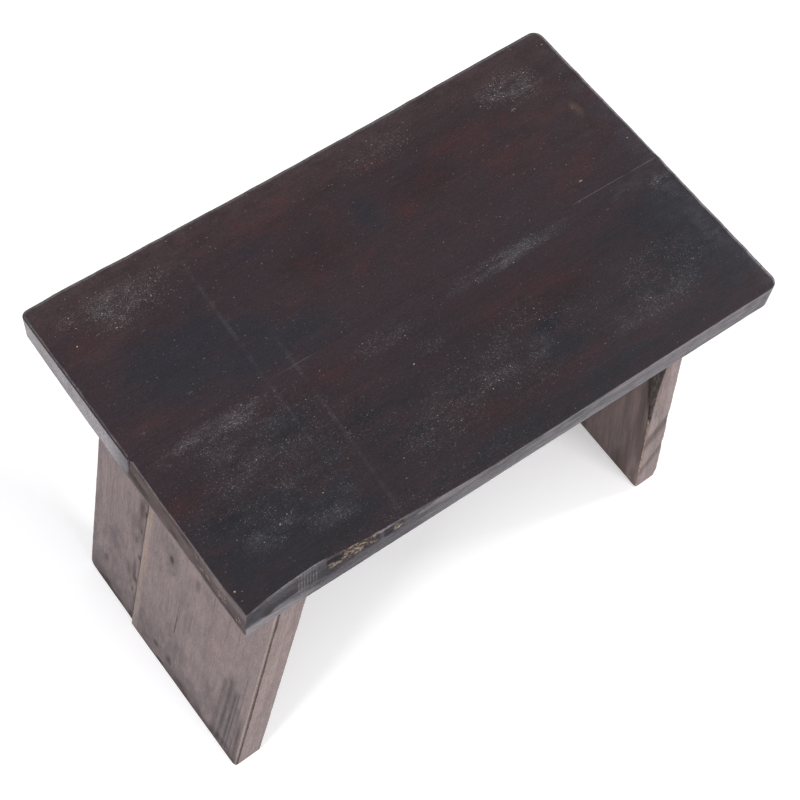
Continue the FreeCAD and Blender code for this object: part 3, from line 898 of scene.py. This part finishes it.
def tear_wane(plank):
    """Stains and roughens the natural bevel, and tears out one stretch of it."""
    x, _, z = plank.in_mm()
    share = z * MM / plank.thickness
    front = (plank.side == 0) * ease(plank.masks["side"], 0.1, 0.5)
    places, shares = zip(*STAIN_FROM)
    begins = np.interp(x, places, shares)
    lumps = noise(plank.flat, (6, 6, 4), 32)
    waned = front * ease(share + 0.04 * lumps, begins - 0.03, begins + 0.04)
    tears = np.maximum(hump(x, -151, -117, 4), 0.85 * hump(x, -111, -99, 4))
    torn = front * tears * ease(share, 0.52, 0.66) * ease(share + 0.03 * lumps, 1.02, 0.96)
    plank.push(waned * 0.3 * lumps - torn * (0.9 + 0.9 * lumps))
    plank.paint("dark", waned * (0.6 + 0.15 * lumps))
    plank.paint("rub_and_highlight", 0.28 * (front - waned) * ease(x, -165, -208))
    threads = noise(plank.flat, (30, 30, 2.2), 33)
    streaky = front * ease(threads + 0.5 * lumps, -0.5, 0.5) * ease(share, 0.3, 0.6)
    plank.paint("dark", 0.42 * streaky * hump(x, -95, 55, 25))
    plank.paint("dark", 0.4 * streaky * hump(x, 188, 204, 6))
    plank.paint("dark", 0.36 * front * hump(x, -155, -95, 18))
    plank.paint("dark", torn)
    plank.paint("bare", torn * (0.58 + 0.5 * lumps))
    ridge = front * hump(x, -122, -108, 6) * ease(share, 0.9, 0.96)
    plank.paint("rub_and_highlight", 0.8 * ridge)


def leg_outline(position):
    """A leg plank's corners: height, then how far back."""
    front, back = leg_low.y, rear_leg_high.y
    if position == "front":
        return ((0, front), (LEG_HEAD, front), (LEG_HEAD, LEG_SEAM_HEAD), (0, LEG_SEAM_FOOT))
    return ((0, LEG_SEAM_FOOT), (LEG_HEAD, LEG_SEAM_HEAD), (LEG_HEAD, back), (0, back))


def to_leg(side, position):
    """Lays a leg plank on its slope: along is up, across is towards the back, and through is outward."""
    inset = REAR_BOARD_INSET if position == "rear" else 0

    def move(places):
        up, back, out = places.T
        inner = FOOT_REACH - inset - LEG_THICKNESS - up * math.tan(LEG_SPLAY)
        twist = 0 * back if position == "rear" else TWIST * (back - TWIST_AXIS)
        return np.column_stack([SIGNS[side] * (inner + out + twist), back, up])

    return move


# The front leg planks are a little twisted, further out at the joint than at the front
TWIST = 2.0 / 150
TWIST_AXIS = -32.6 * MM
LEG_CORNER_RADII = {
    "front": (5, 0.8, 0.8, 0.8),
    "rear": (0.8, 0.8, 0.8, 7),
}
LEG_TOP_RADII = {
    "front": (2.0, 0.6, 1.6, 1.2),
    "rear": (0.6, 0.6, 1.4, 1.2),
}
LEG_LOW_RADII = (1.2, 0.6, 1.0, 1.2)
# The bevel on the right leg's inner front arris: height and depth, height and width, and where it ends
RIGHT_BEVEL = ((140, 0), (190, 3.4), (260, 8.5), (340, 13.5))
BEVEL_WIDTH = ((140, 1.0), (190, 5.0), (260, 10.5), (340, 14.5))
BEVEL_HEIGHT = 13 * MM
# Dents across the right leg's front edge: height, slope, reach, strength
RIGHT_DENTS = ((118, 1.5, 20, 0.5), (58, 1.8, 14, 0.38))
# Marks on the outer face of each leg plank, one of them a painted shadow: height, across, half height, half
# width, strength
LEG_MARKS = {
    "front": {
        "navy": (
            (60, -86, 66, 13, 1.0), (20, -30, 24, 40, 0.5), (12, 20, 14, 18, 0.2),
            (173, 2, 30, 11, 1.0),
        ),
        "dark": (
            (173, 3.3, 7, 3.5, 0.85), (183, -28, 9, 3, 0.4), (23, 8, 5, 4, 0.6),
            # The mark at 306 high and -97 across is painted shadow under the seat's front corner
            (22, -10, 9, 4, 0.5), (40, -101, 45, 3, 0.5), (306, -97, 34, 13, 0.44),
        ),
    },
    "rear": {
        "navy": ((60, 70, 60, 20, 0.7), (150, 52, 40, 12, 0.6), (250, 80, 50, 20, 0.4)),
        "dark": ((43, 85, 12, 5, 0.45), (175, 46, 22, 5, 0.7), (200, 44, 10, 4, 0.6), (75, 55, 14, 4, 0.35)),
    },
}


def leg_board(side, position, material, seed):
    corners = leg_outline(position)
    plank = Plank(
        corners, LEG_CORNER_RADII[position], LEG_THICKNESS, LEG_TOP_RADII[position], LEG_LOW_RADII, seed
    )
    if (side, position) == ("right", "front"):
        wane_right_leg(plank)
    plank.lay_out()
    surface_relief(plank)
    if (side, position) == ("right", "front"):
        clip_right_foot(plank)
    plank.place[:, 0] = np.maximum(plank.place[:, 0], 0)
    paint_leg(plank, position)
    if position == "front":
        paint_front_leg(plank, side)
    return plank.build(f"leg_{side}_{position}", to_leg(side, position), side == "right", material)


def wane_right_leg(plank):
    """A natural bevel on the inner front arris that runs out half way down."""
    heights = plank.wall_heights()
    bevel = along_edge(plank, 0, RIGHT_BEVEL)
    plank.shaved += bevel[:, None] * np.clip(1 - heights / BEVEL_HEIGHT, 0, 1)


def clip_right_foot(plank):
    """Cuts back the outer corner of the right leg's front foot."""
    up, back, out = plank.flat.T
    by_corner = ease(up, 18 * MM, 3 * MM) * ease(back, -70 * MM, -98 * MM)
    plank.place[:, 2] -= 2.2 * MM * by_corner * out / plank.thickness


def paint_leg(plank, position):
    """Rubbed arrises, a painted highlight along the inner foot, marks with a painted shadow among them, a
    dark ragged foot, and the line and worn strip beside the joint.
    """
    up, back, out = plank.in_mm()
    outer = ease(plank.normal[:, 2], 0.5, 0.95)
    inner = ease(-plank.normal[:, 2], 0.5, 0.95)
    depth = plank.thickness / MM - out
    plank.paint("rub_and_highlight", 0.3 * (plank.side >= 0) * ease(depth, 1.8, 0.3))
    plank.paint("rub_and_highlight", 0.3 * (plank.side >= 0) * ease(out, 1.6, 0.3))
    # Painted highlight along the inner face's foot, where it catches the floor's light
    plank.paint("rub_and_highlight", 0.7 * inner * ease(up, 2.5, 0.8))
    wide_streaks = noise(plank.flat, (90, 11, 30), plank.seed + 14)
    plank.paint("haze", 0.4 * inner * ease(wide_streaks, 0.0, 0.7))
    plank.paint("dark", 0.4 * inner * ease(wide_streaks, -0.2, -0.8))
    for mask, spots in LEG_MARKS[position].items():
        plank.paint(mask, outer * patches(plank.flat, spots))
    seam = np.interp(up, (0, LEG_HEAD / MM), (LEG_SEAM_FOOT / MM, LEG_SEAM_HEAD / MM))
    stained = outer * (ease(seam - back, 8, 28) if position == "front" else 1)
    ragged = noise(plank.flat, (5, 9, 9), plank.seed + 9)
    plank.paint("dark", stained * (0.45 + 0.65 * ragged) * ease(up, 24, 3))
    plank.paint("dark", stained * (0.6 + 0.4 * ragged) * ease(up, 7, 2))
    plank.paint("navy", outer * 0.8 * ease(up, 110, 5))
    plank.paint("haze", outer * (0.5 + 0.5 * noise(plank.flat, (60, 16, 16), plank.seed + 11)))
    joint_side = 2 if position == "front" else 0
    plank.paint("dark", 0.95 * (plank.side == joint_side) * (depth > 2))
    if position == "rear":
        broken = 0.6 + 0.4 * noise(plank.flat, (18, 30, 30), plank.seed + 12)
        plank.paint("dark", 0.9 * outer * broken * ease(back - seam, 4.4, 1.8))
        pepper = ease(noise(plank.flat, (10, 4, 4), plank.seed + 13), 0.0, 0.6)
        beside = ease(back - seam, 17, 3) * hump(up, 50, 220, 30)
        plank.paint("dark", 0.75 * outer * pepper * beside)
    else:
        strip = ease(seam - back, 10, 6) * ease(up, 300, 180)
        plank.paint("red", outer * strip)
        plank.paint("rub_and_highlight", 0.42 * outer * ease(seam - back, 8, 4) * ease(up, 310, 200))


def paint_front_leg(plank, side):
    """The front arris: a pale line beside a dark one, with painted shadow under the seat, on the left; a dark
    bevel and bare wood on the right.
    """
    up, back, out = plank.in_mm()
    narrow = plank.side == 0
    facing = plank.normal[:, 2]
    if side == "left":
        plank.paint("rub_and_highlight", 0.75 * narrow * ease(facing, 0.75, 0.95))
        plank.paint("dark", narrow * hump(facing, 0.25, 0.62, 0.12))
        # Painted shadow under the seat, darker towards the top of the narrow face
        plank.paint("dark", 0.3 * narrow * ease(up, 270, 325))
        return
    width = np.interp(up, *zip(*BEVEL_WIDTH))
    rough = narrow * ease(out - width, 0.8, -0.8) * ease(up, 135, 155)
    inner = ease(-plank.normal[:, 2], 0.5, 0.95)
    front_run = back - leg_low.y / MM
    bevel_foot = 13.5 * ease(up, 140, 330)
    beside = hump(front_run - bevel_foot, -1, 2.5, 4.5) * ease(up, 150, 200)
    plank.paint("dark", inner * beside)
    plank.masks["rub_and_highlight"] *= 1 - np.maximum(rough, inner * beside)
    chip = ease(np.hypot(up - 9, front_run - 9), 3.5, 1.2)
    plank.paint("bare", 0.6 * inner * chip)
    lumps = noise(plank.flat, (5, 5, 4), 41)
    plank.paint("dark", rough * (1.1 + 0.2 * lumps))
    plank.push(0.5 * rough * lumps)
    plank.paint("bare", 0.6 * narrow * ease(out, 1.5, 0.4) * ease(up, 165, 150))
    for height, slope, reach, strength in RIGHT_DENTS:
        dent = ease(np.abs(up - height - slope * (out - 12)), reach, 3)
        plank.paint("dark", strength * narrow * dent)
        plank.push(-0.5 * narrow * dent)


def filling(side, number, material):
    """The filling over a nail, a thin pad with a ragged rim, set in the seat."""
    node = f"{side}_filler_{number}"
    low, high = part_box(node)
    centre = (low + high) / 2
    radius = PAD_SHARE * (high.y - low.y) / 2
    rings, around = 5, 28
    points, faces = [], []
    for ring, step in itertools.product(range(rings + 1), range(around)):
        angle = 2 * math.pi * step / around
        ragged = 1 + 0.2 * math.sin(2 * angle + number) + 0.12 * math.sin(5 * angle + 2 * number)
        share = ring / rings
        reach = share * radius * ragged
        rise = 0.12 * MM - 0.4 * MM * share**4
        along = centre.x + PAD_LONG * reach * math.cos(angle)
        across = centre.y + PAD_WIDE * reach * math.sin(angle)
        points.append((along, across, SEAT_TOP + rise))
    for ring, step in itertools.product(range(rings), range(around)):
        a, b = ring * around + step, ring * around + (step + 1) % around
        faces.append((a, b, b + around, a + around))
    mesh = bpy.data.meshes.new(node)
    mesh.from_pydata(points, [], faces)
    mesh.validate()
    mesh.materials.append(material)
    piece = bpy.data.objects.new(f"nail_filling_{side}_{number}", mesh)
    bpy.context.scene.collection.objects.link(piece)
    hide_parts(node)
    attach(piece, "root")


# A filling's pad, as shares of the hole's radius: size, length and width
PAD_SHARE = 0.6
PAD_LONG = 1.6
PAD_WIDE = 0.75
# The fillings that were rubbed pale
PALE_FILLINGS = (("right", 1), ("right", 2))


def plain_grain(name, light, dark, size, gloss, metallic=0.0):
    """A simple fibrous or brushed finish, for the pieces that the planks hide."""
    t = Tree(name)
    spot = t.node("TexCoord", output="Object")
    fibres = t.noise(spot, size, detail=4, rough=0.6)
    face = t.blend(t.ramp(fibres, 0.35, 0.65), dark, light)
    rough = t.times_plus(fibres, 0.2, gloss)
    bump = t.node("Bump", {"Strength": 0.3, "Distance": 0.1 * MM, "Height": fibres}, output="Normal")
    sockets = {"Base Color": face, "Roughness": rough, "Normal": bump, "Metallic": metallic}
    return t.finish(t.node("BsdfPrincipled", sockets, output="BSDF"))


def dress_hidden_pieces():
    """Finishes for the dowels and nails, which stay as they are inside the planks."""
    dowel_wood = plain_grain("dowel_wood", (0.55, 0.4, 0.24), (0.38, 0.25, 0.13), (1.2, 20, 1.2), 0.55)
    nail_steel = plain_grain("nail_steel", (0.5, 0.49, 0.47), (0.3, 0.29, 0.28), (0.8, 0.8, 12), 0.3, 1.0)
    for name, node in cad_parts.items():
        finish = dowel_wood if "dowel" in name else nail_steel if "nail" in name else None
        if finish:
            node.data.materials.clear()
            node.data.materials.append(finish)


def pale_floor():
    """A white floor that the camera sees as plain white away from the stool's soft shadow."""
    mesh = bpy.data.meshes.new("floor")
    half = FLOOR_HALF
    corners = [(-half, -half, 0), (half, -half, 0), (half, half, 0), (-half, half, 0)]
    mesh.from_pydata(corners, [], [(0, 1, 2, 3)])
    floor = bpy.data.objects.new("floor", mesh)
    bpy.context.scene.collection.objects.link(floor)
    t = Tree("white_floor")
    path = {ray: t.node("LightPath", output=f"Is {ray} Ray") for ray in ("Camera", "Glossy", "Transmission")}
    seen = t.math("MAXIMUM", path["Camera"], t.math("MAXIMUM", path["Glossy"], path["Transmission"]))
    speckle = t.noise(t.node("TexCoord", output="Object"), (400, 400, 400), detail=2)
    paint = t.blend(speckle, (0.862, 0.857, 0.875), (0.882, 0.877, 0.895))
    cloth = t.node("BsdfDiffuse", {"Color": paint})
    glow = t.node("Emission", {"Color": (1, 1, 1, 1), "Strength": t.times(seen, FLOOR_GLOW)})
    mesh.materials.append(t.finish(t.node("AddShader", (cloth, glow))))


FLOOR_GLOW = 0.29
FLOOR_HALF = 6.0
WORLD_LIGHT = 0.4
LIGHT_AIM = Vector((0, 0, 0.2))
# Three soft boxes, at the left, at the right and in front: place, size, power
SOFT_BOXES = {
    "soft_box_left": ((-1.25, -0.31, 1.45), 0.4, 16.0),
    "soft_box_right": ((1.25, -0.32, 1.45), 0.4, 12.0),
    "soft_box_front": ((0.25, -1.7, 1.25), 0.9, 22.0),
}


def studio_light():
    world = bpy.data.worlds.new("studio")
    world.use_nodes = True
    bpy.context.scene.world = world
    tree = world.node_tree
    path = tree.nodes.new("ShaderNodeLightPath")
    shade = tree.nodes["Background"]
    mix = tree.nodes.new("ShaderNodeMix")
    mix.inputs[2].default_value = WORLD_LIGHT
    mix.inputs[3].default_value = 1.0
    tree.links.new(path.outputs["Is Camera Ray"], mix.inputs[0])
    tree.links.new(mix.outputs[0], shade.inputs["Strength"])
    shade.inputs["Color"].default_value = (1, 1, 1, 1)
    for name, (place, size, power) in SOFT_BOXES.items():
        lamp = bpy.data.lights.new(name, "AREA")
        lamp.shape = "SQUARE"
        lamp.size = size
        lamp.energy = power
        holder = bpy.data.objects.new(name, lamp)
        holder.location = place
        aim = LIGHT_AIM - Vector(place)
        holder.rotation_euler = aim.to_track_quat("-Z", "Y").to_euler()
        bpy.context.scene.collection.objects.link(holder)


# The photograph's view: turned to the left end, high, and a little rolled
CAMERA_AZIMUTH = math.radians(-43.32)
CAMERA_ELEVATION = math.radians(61.69)
CAMERA_ROLL = math.radians(7.34)
CAMERA_DISTANCE = 1.1976
CAMERA_TARGET = Vector((0, 0, 0.2))
CAMERA_SLIDE = (0.00474, 0.0062)
CAMERA_LENS = 72


def photo_camera():
    level = math.cos(CAMERA_ELEVATION)
    back = Vector(
        (math.sin(CAMERA_AZIMUTH) * level, -math.cos(CAMERA_AZIMUTH) * level, math.sin(CAMERA_ELEVATION))
    )
    flat_right = Vector((math.cos(CAMERA_AZIMUTH), math.sin(CAMERA_AZIMUTH), 0))
    flat_up = back.cross(flat_right)
    right = flat_right * math.cos(CAMERA_ROLL) + flat_up * math.sin(CAMERA_ROLL)
    up = back.cross(right)
    eye = CAMERA_TARGET + back * CAMERA_DISTANCE + right * CAMERA_SLIDE[0] + up * CAMERA_SLIDE[1]
    camera = bpy.data.cameras.new("photo_view")
    camera.lens = CAMERA_LENS
    holder = bpy.data.objects.new("photo_view", camera)
    turn = Matrix((right, up, back)).transposed().to_4x4()
    holder.matrix_world = Matrix.Translation(eye) @ turn
    bpy.context.scene.collection.objects.link(holder)
    bpy.context.scene.camera = holder


seat_wood = stained_wood("seat_wood", SEAT_COLOURS, PALE_BANDS + SEAM_LINES + CHATTER, CHIPS)
leg_wood = stained_wood("leg_wood", LEG_COLOURS, LEG_CRACKS)
pale_filler = plain_grain("pale_filler", (0.24, 0.185, 0.14), (0.035, 0.026, 0.026), (1.4,) * 3, 0.6)
dark_filler = plain_grain("dark_filler", (0.042, 0.033, 0.036), (0.026, 0.02, 0.023), (1.0,) * 3, 0.6)

boards = {"top_board_rear": rear_seat_board(seat_wood), "top_board_front": front_seat_board(seat_wood)}
for seed, (side, position) in enumerate(itertools.product(SIGNS, ("rear", "front")), start=3):
    boards[f"{side}_leg_board_{position}"] = leg_board(side, position, leg_wood, seed)
for node, piece in boards.items():
    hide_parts(node)
    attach(piece, "root")
for side, number in itertools.product(SIGNS, range(1, 5)):
    filling(side, number, pale_filler if (side, number) in PALE_FILLINGS else dark_filler)
dress_hidden_pieces()
pale_floor()
studio_light()
photo_camera()
bpy.context.scene.view_settings.view_transform = "Standard"
